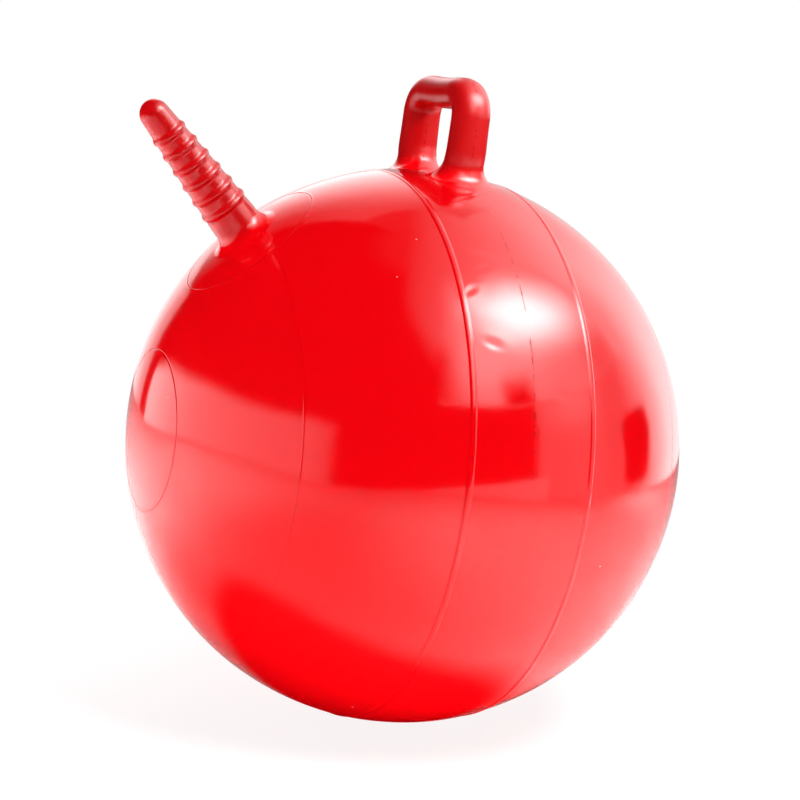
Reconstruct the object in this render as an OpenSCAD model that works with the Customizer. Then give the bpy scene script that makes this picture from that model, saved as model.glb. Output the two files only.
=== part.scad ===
// Hopper ball: an inflated ball of soft vinyl with a carrying loop on top, a ribbed
// horn grip leaning forward and an air plug in the back.
// The origin is the middle of the flat patch that the ball stands on. +Z is up through
// the loop, -Y is the front, and the left and right halves mirror each other.

/* [Ball] */
// Outside diameter of the inflated ball
ball_d = 550; // [450:5:700]
// Thickness of the moulded skin
skin_t = 1.5; // [1:0.1:3]
// How far the ball's own weight flattens it on the floor
sink = 4; // [2:0.5:7]
// Gap at the seams where pieces of the skin meet
seam_gap = 0.1; // [0.05:0.05:0.3]

/* [Middle band] */
// Width of the band between the crests of its two beads
band_w = 120; // [110:1:160]
// Width of a bead
bead_w = 5; // [3:0.5:8]
// Height of a bead above the skin
bead_h = 1.5; // [0.5:0.1:2]
// Plain skin between a bead and the seam with the dome
bead_lip = 2; // [1:0.5:4]

/* [Domes and discs] */
// Distance of the fine ring on each dome from the middle of the ball
ring_y = 190; // [150:1:205]
// Width of the fine ring
ring_w = 2.4; // [1.5:0.1:4]
// Height of the fine ring above the skin
ring_h = 0.5; // [0.3:0.1:1]
// Diameter of the round disc at the front and back
disc_d = 154; // [110:1:170]
// Width of the groove around each disc
groove_w = 1.4; // [0.8:0.1:1.8]

/* [Horn grip] */
// Angle of the horn above the horizontal
horn_angle = 45; // [40:1:55]
// Diameter of the disc of skin that the horn grows from
horn_disc_d = 142; // [100:1:150]
// Length of the horn beyond the skin
horn_l = 155; // [120:1:200]
// Diameter of the rounded tip
horn_tip_d = 28; // [24:1:34]
// Taper of each side of the horn
horn_taper = 4; // [3:0.1:5]
// Radius of the fillet where the horn leaves the skin
horn_fillet = 16; // [8:1:20]
// Wall of the hollow horn
horn_wall = 2; // [1.5:0.1:4]
// Number of grip rings
rib_n = 6; // [3:1:7]
// Distance from one grip ring to the next
rib_pitch = 17; // [14:0.5:18]
// Distance of the first grip ring from the skin
rib_start = 34; // [28:1:40]
// Width of a grip ring
rib_w = 9; // [6:0.5:12]
// Height of a grip ring
rib_h = 1.8; // [1:0.1:3]

/* [Carrying loop] */
// Height of the loop above the top of the ball
loop_h = 92; // [80:1:120]
// Distance between the middles of the two legs
leg_span = 110; // [100:1:140]
// Width of the grip from front to back
grip_w = 38; // [32:0.5:46]
// Thickness of the grip
grip_t = 30; // [22:0.5:31]
// Radius of the loop's upper corners, at the middle of the grip
corner_r = 24; // [18:1:30]
// Height above the ball at which the legs turn upright
knee_h = 24; // [20:1:30]
// Radius of the bend from the foot to the upright leg
knee_r = 40; // [30:1:45]
// How much fuller the leg is all round at that bend
knee_full = 0.2; // [0.1:0.05:0.4]
// Radius of the fillet where a leg leaves the skin
foot_fillet = 12; // [8:0.5:13]
// Wall of the hollow loop
loop_wall = 2.2; // [1.5:0.1:4]

/* [Air valve] */
// Diameter of the seat's collar where it comes through the skin
collar_d = 28; // [27:0.5:34]
// Diameter of the flange bonded inside the skin
flange_d = 48; // [40:1:60]
// Thickness of that flange
flange_t = 2.5; // [1.5:0.1:4]
// Length of the seat inwards from the skin
seat_l = 17; // [15:0.5:24]
// Diameter of the boss around the bore
boss_d = 19; // [17:0.5:22]
// Diameter of the plug's head
head_d = 21; // [18:0.5:23]
// Thickness of the plug's head
head_t = 3.4; // [2.5:0.1:4.5]
// How far the head stands proud of the skin
head_proud = 1.4; // [0.8:0.1:2]
// Rounding of the head's edge
head_round = 1.1; // [0.5:0.1:1.2]
// Largest diameter of the plug's tapered stem
stem_d = 11; // [9:0.5:12]
// Taper of each side of the stem
stem_taper = 3; // [1:0.5:5]
// Length of the plug's stem
stem_l = 18; // [16:0.5:24]
// Clearance of the stem in its bore
stem_clear = 0.06; // [0.03:0.01:0.1]
// Clearance around and under the plug's head
head_clear = 0.3; // [0.2:0.05:0.5]

/* [Hidden] */
$fn = 180;
vinyl_red = [0.84, 0.03, 0.03];
plug_white = [0.93, 0.92, 0.88];
// Share of a fillet's radius that its arc's centre stands off from what it joins
fillet_bite = 0.97;
// Angle by which a knee's bend runs on over the straight leg at each end
knee_lap = 2;

ball_r = ball_d / 2;
ball_z = ball_r - sink;
bead_y = band_w / 2;
seam_y = bead_y + bead_w / 2 + bead_lip;
disc_r = disc_d / 2;
horn_disc_r = horn_disc_d / 2;

// Horn: a cone tangent to its round tip, measured along its axis from the ball's centre
tip_r = horn_tip_d / 2;
tip_s = ball_r + horn_l - tip_r;
cone_end_s = tip_s + tip_r * sin(horn_taper);
function horn_r(s) = tip_r * cos(horn_taper) + (cone_end_s - s) * tan(horn_taper);
neck_r = horn_r(ball_r + horn_fillet);

// Loop: its middle line runs out along the skin's normal, bends upright, and turns the corner
leg_x = leg_span / 2;
grip_r = grip_t / 2;
grip_flat = grip_w - grip_t;
knee_z = ball_r + knee_h;
knee_x = leg_x - knee_r;
bar_z = ball_r + loop_h - grip_r;
corner_x = leg_x - corner_r;
corner_z = bar_z - corner_r;
foot_angle = asin(knee_r / norm([knee_x, knee_z])) + atan2(knee_x, knee_z);
knee_s = norm([knee_x + knee_r * cos(foot_angle), knee_z - knee_r * sin(foot_angle)]);
foot_r = flare_r(grip_r, foot_fillet);

// Valve, measured along its axis from the ball's centre
head_top_s = ball_r + head_proud;
head_low_s = head_top_s - head_t;
recess_s = head_low_s - head_clear;
seat_end_s = ball_r - seat_l;
stem_end_s = head_low_s - stem_l;
function stem_r(s) = stem_d / 2 - (head_low_s - s) * tan(stem_taper);

// A fillet of radius f around a post of radius r: its arc's centre lies this far out from the
// axis and this far along it, so that the arc runs a little way into the post and the ball
function fillet_r(r, f) = r + f * fillet_bite;
function fillet_s(r, f) = sqrt(pow(ball_r + f * fillet_bite, 2) - pow(fillet_r(r, f), 2));
// and it ends on the ball this far from the axis
function flare_r(r, f) = fillet_r(r, f) * ball_r / (ball_r + f * fillet_bite);
// Radius of the arc that makes a bump of width w and height h
function bump_r(w, h) = (w * w / 4 + h * h) / (2 * h);

// Places its children at the ball's centre, with their Z axis along each direction
module to_front() { translate([0, 0, ball_z]) rotate([90, 0, 0]) children(); }
module to_back() { translate([0, 0, ball_z]) rotate([-90, 0, 0]) children(); }
module to_horn() { translate([0, 0, ball_z]) rotate([90 - horn_angle, 0, 0]) children(); }
module to_foot() { translate([0, 0, ball_z]) rotate([0, foot_angle, 0]) children(); }
// and at the middle of a knee's bend, with their X axis along its lower end
module to_knee() {
    translate([knee_x, 0, ball_z + knee_z]) rotate([90, 0, 0]) rotate([0, 0, -foot_angle]) children();
}
module both_sides() {
    children();
    mirror([1, 0, 0]) children();
}

// Everything above a level, wide enough for the whole ball
module above(level) {
    translate([-ball_d, -ball_d, level]) cube(2 * ball_d);
}

// The ball grown by an amount, standing flat on the floor
module ball_form(grow) {
    intersection() {
        to_back() sphere(r = ball_r + grow);
        above(-grow);
    }
}

// The slice of space between two distances from the ball's middle
module slice(y0, y1) {
    translate([-ball_d, y0, -ball_d]) cube([2 * ball_d, y1 - y0, 3 * ball_d]);
}

// A rounded ridge around the ball at a distance from its middle
module ridge(y, w, h) {
    arc_r = bump_r(w, h);
    lean = asin(y / ball_r);
    crest = ball_r + h - arc_r;
    to_back() rotate_extrude()
        translate([crest * cos(lean), crest * sin(lean)]) circle(r = arc_r, $fn = 32);
}

// The groove around a disc of radius r at the end of the Z axis
module groove(r) {
    rotate_extrude()
        translate([r, sqrt(ball_r * ball_r - r * r)]) circle(d = groove_w, $fn = 24);
}

// Half profile of a disc of skin out to radius r, and inwards to radius r0
module skin_profile(r0, r) {
    difference() {
        intersection() {
            circle(r = ball_r);
            translate([r0, 0]) square([r - r0, 2 * ball_r]);
        }
        circle(r = ball_r - skin_t);
    }
}

// Half profile of the flare from a post of radius r into the ball, with a fillet f
module flare_profile(r, f) {
    root_s = ball_r - 2 * f;
    difference() {
        translate([0, root_s]) square([flare_r(r, f), fillet_s(r, f) - root_s]);
        translate([fillet_r(r, f), fillet_s(r, f)]) circle(r = f, $fn = 64);
    }
}

module centre_band() {
    color(vinyl_red) difference() {
        intersection() {
            union() {
                ball_form(0);
                for (side = [-1, 1]) ridge(side * bead_y, bead_w, bead_h);
            }
            slice(-seam_y, seam_y);
            above(0);
        }
        ball_form(-skin_t);
        both_sides() to_foot() translate([0, 0, ball_r / 2])
            linear_extrude(height = ball_r) grip_section(foot_r + seam_gap);
    }
}

// The skin from the band to the front or the back, with its fine ring
module dome(side) {
    difference() {
        intersection() {
            union() {
                ball_form(0);
                ridge(side * ring_y, ring_w, ring_h);
            }
            if (side < 0) slice(-ball_d, -seam_y);
            else slice(seam_y, ball_d);
            above(0);
        }
        ball_form(-skin_t);
    }
}

// What is cut out of a dome for a disc of radius r
module disc_window(r) {
    translate([0, 0, ball_r / 2]) cylinder(r = r + seam_gap, h = ball_r);
    groove(r);
}

module front_dome() {
    color(vinyl_red) difference() {
        dome(-1);
        to_front() disc_window(disc_r);
        to_horn() disc_window(horn_disc_r);
    }
}

module rear_dome() {
    color(vinyl_red) difference() {
        dome(1);
        to_back() disc_window(disc_r);
    }
}

module front_disc() {
    color(vinyl_red) to_front() difference() {
        rotate_extrude() skin_profile(0, disc_r);
        groove(disc_r);
    }
}

module rear_disc() {
    color(vinyl_red) to_back() difference() {
        rotate_extrude() skin_profile(collar_d / 2 + seam_gap, disc_r);
        groove(disc_r);
    }
}

// Half profile of the horn's tapered body from a distance s0 to its tip, thinned by an amount
module horn_body(s0, thin) {
    side = thin / cos(horn_taper);
    polygon([
        [0, s0],
        [horn_r(s0) - side, s0],
        [horn_r(cone_end_s) - side, cone_end_s],
        [0, cone_end_s]
    ]);
    intersection() {
        translate([0, tip_s]) circle(r = tip_r - thin, $fn = 64);
        translate([0, tip_s]) square(2 * tip_r);
    }
}

module horn_grip() {
    rib_r = bump_r(rib_w, rib_h);
    color(vinyl_red) to_horn() difference() {
        rotate_extrude() difference() {
            union() {
                skin_profile(0, horn_disc_r);
                flare_profile(neck_r, horn_fillet);
                horn_body(ball_r - horn_fillet, 0);
                for (i = [0 : rib_n - 1]) {
                    s = ball_r + rib_start + i * rib_pitch;
                    intersection() {
                        translate([horn_r(s) + rib_h - rib_r, s]) circle(r = rib_r, $fn = 48);
                        translate([0, s - rib_w]) square([ball_r, 2 * rib_w]);
                    }
                }
            }
            circle(r = ball_r - skin_t);
            horn_body(ball_r - 2 * horn_fillet, horn_wall);
        }
        groove(horn_disc_r);
    }
}

// Section of the loop at a distance r from its two middle lines: an oval, longer front to back
module grip_section(r) {
    for (end = [-1, 1]) translate([0, end * grip_flat / 2]) circle(r = r, $fn = 64);
    square([2 * r, grip_flat], center = true);
}

// The corners, the bar, and the legs down to a height z0 above the ball's centre, with their
// section at a distance r from the middle line
module loop_top(r, z0) {
    both_sides() {
        translate([leg_x, 0, ball_z + corner_z]) mirror([0, 0, 1])
            linear_extrude(height = corner_z - z0) grip_section(r);
        translate([corner_x, 0, ball_z + corner_z]) rotate([90, 0, 0])
            rotate_extrude(angle = 90) translate([corner_r, 0]) grip_section(r);
    }
    translate([-corner_x, 0, ball_z + bar_z]) rotate([0, 90, 0])
        linear_extrude(height = 2 * corner_x) grip_section(r);
}

// One leg's bend, and its foot running down into the skin
module loop_foot(r) {
    to_knee() {
        rotate([0, 0, -knee_lap]) rotate_extrude(angle = foot_angle + 2 * knee_lap)
            translate([knee_r, 0]) grip_section(r + knee_full);
        rotate([90, 0, 0]) linear_extrude(height = knee_s - ball_r + 2 * skin_t)
            translate([knee_r, 0]) grip_section(r);
    }
}

// A capsule as wide as the loop's section at a distance r, which joins two lengths of hollow
module knuckle(r) {
    rotate([90, 0, 0]) rotate_extrude() intersection() {
        grip_section(r);
        translate([0, -grip_w]) square([grip_w, 2 * grip_w]);
    }
}

// The hollow inside the loop, with a knuckle where its middle lines cross at each knee. It
// opens into the ball
module loop_hollow(r) {
    cross_s = leg_x / sin(foot_angle);
    root_s = ball_r - 2 * foot_fillet;
    loop_top(r, leg_x / tan(foot_angle));
    both_sides() to_foot() {
        translate([0, 0, root_s]) linear_extrude(height = cross_s - root_s) grip_section(r);
        translate([0, 0, cross_s]) knuckle(r + knee_full);
    }
}

// The flare of one foot, which follows the oval section around
module foot_flare() {
    to_foot() {
        for (end = [-1, 1]) translate([0, end * grip_flat / 2, 0])
            rotate([0, 0, 90 * (1 - end)])
                rotate_extrude(angle = 180) flare_profile(grip_r, foot_fillet);
        rotate([90, 0, 0]) linear_extrude(height = grip_flat, center = true) {
            flare_profile(grip_r, foot_fillet);
            mirror([1, 0]) flare_profile(grip_r, foot_fillet);
        }
    }
}

module carry_handle() {
    color(vinyl_red) difference() {
        union() {
            loop_top(grip_r, knee_z);
            both_sides() {
                loop_foot(grip_r);
                foot_flare();
            }
        }
        loop_hollow(grip_r - loop_wall);
        ball_form(-skin_t);
    }
}

// The collar shows around the plug, and the flange behind it is bonded to the skin
module valve_seat() {
    inner_r = ball_r - skin_t - seam_gap;
    color(vinyl_red) to_back() rotate_extrude() difference() {
        union() {
            intersection() {
                circle(r = ball_r);
                translate([0, ball_r - 2 * skin_t]) square([collar_d / 2, ball_r]);
            }
            intersection() {
                circle(r = inner_r);
                translate([0, inner_r - flange_t]) square([flange_d / 2, ball_r]);
            }
            translate([0, seat_end_s]) square([boss_d / 2, seat_l - 2 * skin_t]);
        }
        translate([0, recess_s]) square([head_d / 2 + head_clear, ball_r]);
        polygon([
            [0, seat_end_s - head_clear],
            [stem_r(seat_end_s - head_clear) + stem_clear, seat_end_s - head_clear],
            [stem_r(recess_s) + stem_clear, recess_s],
            [0, recess_s]
        ]);
    }
}

// A stopper with a rounded head and a tapered stem
module air_plug() {
    color(plug_white) to_back() rotate_extrude() {
        difference() {
            translate([0, head_low_s]) square([head_d / 2, head_t]);
            translate([head_d / 2 - head_round, head_top_s - head_round]) square(2 * head_round);
        }
        intersection() {
            translate([head_d / 2 - head_round, head_top_s - head_round]) circle(r = head_round, $fn = 32);
            translate([head_d / 2 - head_round, head_top_s - head_round]) square(head_round);
        }
        polygon([
            [0, stem_end_s],
            [stem_r(stem_end_s), stem_end_s],
            [stem_r(head_low_s), head_low_s],
            [0, head_low_s]
        ]);
    }
}

centre_band();
front_dome();
rear_dome();
front_disc();
rear_disc();
horn_grip();
carry_handle();
valve_seat();
air_plug();
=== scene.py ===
import bpy
import bmesh
import numpy as np
from mathutils import Matrix


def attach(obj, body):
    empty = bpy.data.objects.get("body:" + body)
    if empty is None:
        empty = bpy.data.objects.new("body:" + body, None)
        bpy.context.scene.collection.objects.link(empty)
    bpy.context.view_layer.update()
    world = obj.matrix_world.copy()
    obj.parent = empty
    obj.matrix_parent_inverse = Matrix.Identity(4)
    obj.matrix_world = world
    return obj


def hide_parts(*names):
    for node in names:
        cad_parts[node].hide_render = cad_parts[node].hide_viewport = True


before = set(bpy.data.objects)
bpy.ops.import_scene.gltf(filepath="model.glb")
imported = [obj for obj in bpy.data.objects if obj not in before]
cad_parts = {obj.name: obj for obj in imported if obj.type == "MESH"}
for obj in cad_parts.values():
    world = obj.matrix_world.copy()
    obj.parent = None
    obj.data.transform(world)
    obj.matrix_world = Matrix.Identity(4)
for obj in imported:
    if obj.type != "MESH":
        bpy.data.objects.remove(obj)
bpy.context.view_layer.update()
print("frame loaded:", len(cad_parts), "nodes")

# sizes in metres, angles in degrees
# the ball stands on z = 0; lean runs from the front pole (-90, at -Y) to the back pole (90)
# and turn runs about the Y axis, from the top (0) over +X (90)
ball = {
    "radius": 0.275, "skin": 0.0015,
    "sink": 0.004,  # how far its weight flattens it
    "floorBlend": 0.0022,  # softness of the edge of the flat patch
    "footRise": 0.03,  # height over which the pressed foot turns into the true ball
    "seamY": 0.0645, "seamGap": 0.00004,  # where the band meets the domes
    "discRadius": 0.077,
}
ballCentre = np.array([0.0, 0.0, ball["radius"] - ball["sink"]])

# slow unevenness of the blown skin, as random plane waves, count of them at each wavelength
skinWaves = {
    "seed": 11, "count": 7,
    "wavelengths": (0.150, 0.070, 0.034),
    "heights": (0.00016, 0.00006, 0.000022),
}

# soft puckers in the skin, one in a row: turn, distance across from the middle plane, size along
# and across the pucker, depth, and how far it is turned from the band's own direction
dentKeys = ("turn", "across", "along", "wide", "depth", "lean")
dentRows = (
    (48.9, -0.0515, 0.0028, 0.0062, 0.0010, -45),
    (43.6, -0.0330, 0.0030, 0.0085, 0.0004, -23),
    (60.2, -0.0390, 0.0042, 0.0080, 0.0012, 22),
    (69.3, 0.0300, 0.0048, 0.0110, 0.0003, 14),
    (22.5, -0.0220, 0.0024, 0.0120, 0.0008, -28),
    (20.5, -0.0060, 0.0024, 0.0130, 0.0008, -28),
    (-21.0, 0.0140, 0.0036, 0.0120, 0.0007, 50),
    (-38.0, 0.0450, 0.0050, 0.0100, 0.0006, 35),
    (-95.0, -0.0500, 0.0070, 0.0050, 0.0007, 15),
    (118.0, 0.0480, 0.0060, 0.0100, 0.0004, -15),
)
skinDents = [dict(zip(dentKeys, row)) for row in dentRows]
# the low rim round a pucker as a share of its depth, and the cosine within which a pucker counts
dentRim = {"height": 0.45, "spread": 4, "reach": 0.9}

meshing = {
    "mergeDistance": 2e-7,
    "sharpAngle": 38,
    "rowSpacing": 0.00012,  # least distance between two rows of the skin
    "sameRow": 1e-6,  # and of the loop
}


def direction(lean, turn):
    # unit vector for lean and turn in degrees
    b = np.radians(lean)
    t = np.radians(turn)
    return np.stack([np.cos(b) * np.sin(t), np.sin(b) + 0 * t, np.cos(b) * np.cos(t)], axis=-1)


def arcAt(y):
    # arc length from the middle plane to the circle on the ball at a distance y from it
    return ball["radius"] * np.arcsin(y / ball["radius"])


def rimAt(radius):
    # arc length from the middle plane to a circle of this radius round a pole
    return ball["radius"] * np.arccos(radius / ball["radius"])


def smoothstep(a, b, x):
    # 0 at a, 1 at b
    t = np.clip((x - a) / (b - a), 0, 1)
    return t * t * (3 - 2 * t)


def skinSwell(d):
    # height of the uneven skin above the true ball for unit vectors d: waves, then puckers,
    # each pucker a Gaussian hollow with a low rim around it
    rng = np.random.default_rng(skinWaves["seed"])
    swell = np.zeros(d.shape[:-1])
    p = d * ball["radius"]
    for wavelength, height in zip(skinWaves["wavelengths"], skinWaves["heights"]):
        vectors = rng.normal(size=(skinWaves["count"], 3))
        vectors *= 2 * np.pi / wavelength / np.linalg.norm(vectors, axis=1, keepdims=True)
        phases = rng.uniform(0, 2 * np.pi, skinWaves["count"])
        swell += height * np.sin(p @ vectors.T + phases).sum(axis=-1) / np.sqrt(skinWaves["count"])
    for dent in skinDents:
        middle = direction(np.degrees(np.arcsin(dent["across"] / ball["radius"])), dent["turn"])
        sideways = np.cross(middle, [0.0, 1.0, 0.0])
        sideways /= np.linalg.norm(sideways)
        onward = np.cross(sideways, middle)
        c, s = np.cos(np.radians(dent["lean"])), np.sin(np.radians(dent["lean"]))
        u = (p @ (c * sideways + s * onward)) / dent["along"]
        v = (p @ (c * onward - s * sideways)) / dent["wide"]
        near = (d @ middle) > dentRim["reach"]
        q = u * u + v * v
        rim = dentRim["height"] * np.exp(-q / dentRim["spread"])
        swell += near * dent["depth"] * (rim - np.exp(-q))
    return swell


def onBall(d, height):
    # point of the skin at a height above the ball, with the foot pressed flat on the floor
    r = ball["radius"] + height + skinSwell(d)
    p = ballCentre + d * r[..., None]
    floorLevel = np.maximum(-height, 0)  # the inner wall stops a skin's thickness higher
    w = ball["floorBlend"]
    lift = p[..., 2] - floorLevel
    soft = 0.5 * (lift + np.sqrt(lift * lift + w * w))
    middle = 0.5 * (np.sqrt(ball["sink"] ** 2 + w * w) - ball["sink"])
    soft -= middle * (1 - smoothstep(0, ball["footRise"], lift))  # so that the patch lies on the floor
    p[..., 2] = soft + floorLevel
    return p


def bump(d, width, height):
    # a smooth ridge: height at d = 0, nothing beyond half its width
    return np.where(np.abs(d) < width / 2, height * np.cos(np.pi * d / width) ** 2, 0.0)


def bead(d, width, height, edge):
    # a rounded ridge: half a low arch, half a smooth step at each edge
    x = np.clip(2 * np.abs(d) / width, 0, 1)
    return height * 0.5 * (smoothstep(width / 2, width / 2 - edge, np.abs(d)) + 1 - x * x)


def wallGroove(d):
    # hollow half of the groove round a disc, d measured from its middle
    return -bump(d, dome["grooveWidth"], dome["grooveDepth"])


def shadeLine(d, width):
    # painted shade: darkness of a soft line at a distance d from its middle
    return np.exp(-(d / width) ** 2)


def acrossRows(values, columns):
    # one value for each row, repeated along it
    return np.repeat(values[:, None], columns, axis=1)


def gridFaces(rows, columns, closeRows=False, closeColumns=True):
    # quads of a grid of points, wrapped where it closes on itself
    i = np.arange(rows if closeRows else rows - 1)
    j = np.arange(columns if closeColumns else columns - 1)
    i, j = np.meshgrid(i, j, indexing="ij")
    i2 = (i + 1) % rows
    j2 = (j + 1) % columns
    quads = np.stack([i * columns + j, i * columns + j2, i2 * columns + j2, i2 * columns + j], axis=-1)
    return quads.reshape(-1, 4)


def addObject(name, data):
    item = bpy.data.objects.new(name, data)
    bpy.context.collection.objects.link(item)
    return item


def addPiece(name, points, quads, material, marks, closed=True):
    # a mesh object at the origin from a grid of points; doubles at the poles are merged;
    # marks are values at the points that the material reads
    points = points.reshape(-1, 3)
    a, b, c, d = (points[quads[:, k]] for k in range(4))
    volume = np.einsum("ij,ij->", a, np.cross(c, d - b)) / 6
    if closed and volume < 0:
        quads = quads[:, ::-1]
    mesh = bpy.data.meshes.new(name)
    mesh.vertices.add(len(points))
    mesh.vertices.foreach_set("co", points.astype(np.float32).ravel())
    mesh.loops.add(quads.size)
    mesh.loops.foreach_set("vertex_index", quads.astype(np.int32).ravel())
    mesh.polygons.add(len(quads))
    mesh.polygons.foreach_set("loop_start", np.arange(0, quads.size, 4, dtype=np.int32))
    mesh.update(calc_edges=True)
    for mark, values in marks.items():
        attribute = mesh.attributes.new(mark, "FLOAT", "POINT")
        attribute.data.foreach_set("value", values.astype(np.float32).ravel())
    work = bmesh.new()
    work.from_mesh(mesh)
    bmesh.ops.remove_doubles(work, verts=work.verts, dist=meshing["mergeDistance"])
    work.to_mesh(mesh)
    work.free()
    mesh.polygons.foreach_set("use_smooth", np.ones(len(mesh.polygons), bool))
    mesh.set_sharp_from_angle(angle=np.radians(meshing["sharpAngle"]))
    mesh.materials.append(material)
    mesh.validate()
    return addObject(name, mesh)


def stand(piece, node, body="ball"):
    # the piece stands for a node of the frame and moves with its body
    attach(piece, body)
    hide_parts(node)
    print("piece", piece.name, len(piece.data.polygons), "faces")


# shader groups


def newGroup(name, inputs, outputs):
    # besides a Vector, its inputs and outputs are numbers
    group = bpy.data.node_groups.new(name, "ShaderNodeTree")
    group.interface.new_socket(name="Vector", in_out="INPUT", socket_type="NodeSocketVector")
    for way, labels in (("INPUT", inputs), ("OUTPUT", outputs)):
        for label in labels:
            group.interface.new_socket(name=label, in_out=way, socket_type="NodeSocketFloat")
    start = group.nodes.new("NodeGroupInput")
    end = group.nodes.new("NodeGroupOutput")
    return group, start.outputs, end.inputs


def addNode(tree, kind, inputs=None, **settings):
    # a node with its settings; an input may be a value or a socket to link from
    node = tree.nodes.new(kind)
    for key, value in settings.items():
        setattr(node, key, value)
    for key, value in (inputs or {}).items():
        socket = node.inputs[key]
        if isinstance(value, bpy.types.NodeSocket):
            tree.links.new(value, socket)
        else:
            socket.default_value = value
    return node


def mathNode(tree, operation, *values, clamp=False):
    inputs = dict(enumerate(values))
    node = addNode(tree, "ShaderNodeMath", inputs, operation=operation, use_clamp=clamp)
    return node.outputs[0]


def noiseAt(tree, where, scale, **more):
    inputs = {"Vector": where, "Scale": scale, **more}
    return addNode(tree, "ShaderNodeTexNoise", inputs).outputs["Fac"]


def makeGrainGroup():
    # moulded surface: a fine orange peel on slow ripples as Height, cloudy patches as Cloud
    inputs = ("Grain", "Ripple", "Ripple share", "Cloud size")
    group, start, end = newGroup("mouldGrain", inputs, ("Height", "Cloud"))
    where = start["Vector"]
    peel = noiseAt(group, where, start["Grain"], Detail=2.0, Roughness=0.45)
    cloud = noiseAt(group, where, start["Cloud size"], Detail=5.0, Roughness=0.6, Distortion=0.4)
    ripple = noiseAt(group, where, start["Ripple"], Detail=1.0, Roughness=0.4)
    swell = mathNode(group, "MULTIPLY", ripple, start["Ripple share"])
    group.links.new(mathNode(group, "ADD", peel, swell), end["Height"])
    group.links.new(cloud, end["Cloud"])
    return group


def makeDustGroup():
    # sparse specks of dust: small dots in a few of the cells of a Voronoi pattern
    group, start, end = newGroup("dustSpecks", ("Cells", "Size", "Share"), ("Mask",))
    cells = addNode(group, "ShaderNodeTexVoronoi", {"Vector": start["Vector"], "Scale": start["Cells"]})
    pick = addNode(group, "ShaderNodeSeparateColor", {"Color": cells.outputs["Color"]})
    chosen = mathNode(group, "LESS_THAN", pick.outputs[0], start["Share"])
    size = mathNode(group, "MULTIPLY", pick.outputs[1], start["Size"])
    dot = mathNode(group, "LESS_THAN", cells.outputs["Distance"], size)
    group.links.new(mathNode(group, "MULTIPLY", chosen, dot), end["Mask"])
    return group


def makeScuffGroup():
    # faint rubbed streaks: stretched noise, cut to its highest ridges
    group, start, end = newGroup("rubbedStreaks", ("Threshold", "Contrast"), ("Mask",))
    stretch = addNode(group, "ShaderNodeMapping",
                      {"Vector": start["Vector"], "Scale": (60, 14, 90), "Rotation": (0.5, 0.9, 0.3)})
    noise = noiseAt(group, stretch.outputs["Vector"], 1.0, Detail=3.0)
    above = mathNode(group, "SUBTRACT", noise, start["Threshold"])
    group.links.new(mathNode(group, "MULTIPLY", above, start["Contrast"], clamp=True), end["Mask"])
    return group


grainGroup = makeGrainGroup()
dustGroup = makeDustGroup()
scuffGroup = makeScuffGroup()
print("shader groups made")


def newMaterial(name):
    material = bpy.data.materials.new(name)
    material.use_nodes = True
    tree = material.node_tree
    tree.nodes.clear()
    return material, tree, tree.nodes.new("ShaderNodeOutputMaterial").inputs["Surface"]


def placeGroup(tree, group, where, values):
    return addNode(tree, "ShaderNodeGroup", {"Vector": where, **values}, node_tree=group).outputs


def markOf(tree, name):
    # value that addPiece has put at the points
    return addNode(tree, "ShaderNodeAttribute", attribute_name=name).outputs["Fac"]


def mixColour(tree, factor, a, b):
    inputs = {0: factor, 6: a, 7: b}
    return addNode(tree, "ShaderNodeMix", inputs, data_type="RGBA").outputs[2]


# materials: tints are laid over the colour in turn, each with its mask, colour and share; rougher
# says what each mask adds to the roughness, and lineGloss what a full line adds to the gloss
vinyl = {
    "colour": (0.92, 0.0006, 0.0040, 1),
    "marks": ("line", "wall"),
    "grain": {"Grain": 430.0, "Ripple": 62.0, "Ripple share": 3.2, "Cloud size": 11.0},
    "specks": {"Cells": 40.0, "Size": 0.06, "Share": 0.2},
    "streaks": {"Threshold": 0.68, "Contrast": 8.0},
    "tints": (
        ("cloud", (0.84, 0.0004, 0.0026, 1), 0.6),
        ("wall", (0.52, 0.0003, 0.0020, 1), 1.0),  # thicker walls of the loop and the horn
        ("line", (0.42, 0.0004, 0.0016, 1), 1.0),  # painted shade in the bottom of grooves, at the feet of ridges and along the flash ridges
        ("dust", (0.95, 0.55, 0.52, 1), 0.5),
    ),
    "roughness": 0.075,  # stretched skin of the ball
    "rougher": {"cloud": 0.04, "wall": 0.195, "scuff": 0.12},
    "gloss": 0.5, "lineGloss": -0.46, "ior": 1.52,
    "peelStrength": 0.35, "peelDepth": 0.00006,
}
stopper = {
    "colour": (0.86, 0.85, 0.80, 1),
    "marks": ("line",),
    "grain": {"Grain": 900.0, "Ripple": 300.0, "Ripple share": 0.5, "Cloud size": 120.0},
    "specks": {"Cells": 260.0, "Size": 0.12, "Share": 0.3},
    "tints": (
        ("cloud", (0.74, 0.72, 0.66, 1), 1.0),
        # painted shade in the dimple of the stopper's gate
        ("line", (0.45, 0.40, 0.36, 1), 0.5),
        ("dust", (0.45, 0.40, 0.36, 1), 0.3),
    ),
    "roughness": 0.30,
    "rougher": {"cloud": 0.16},
    "gloss": 0.5, "lineGloss": 0.0, "ior": 1.49,
    "peelStrength": 0.25, "peelDepth": 0.0001,
}


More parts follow.
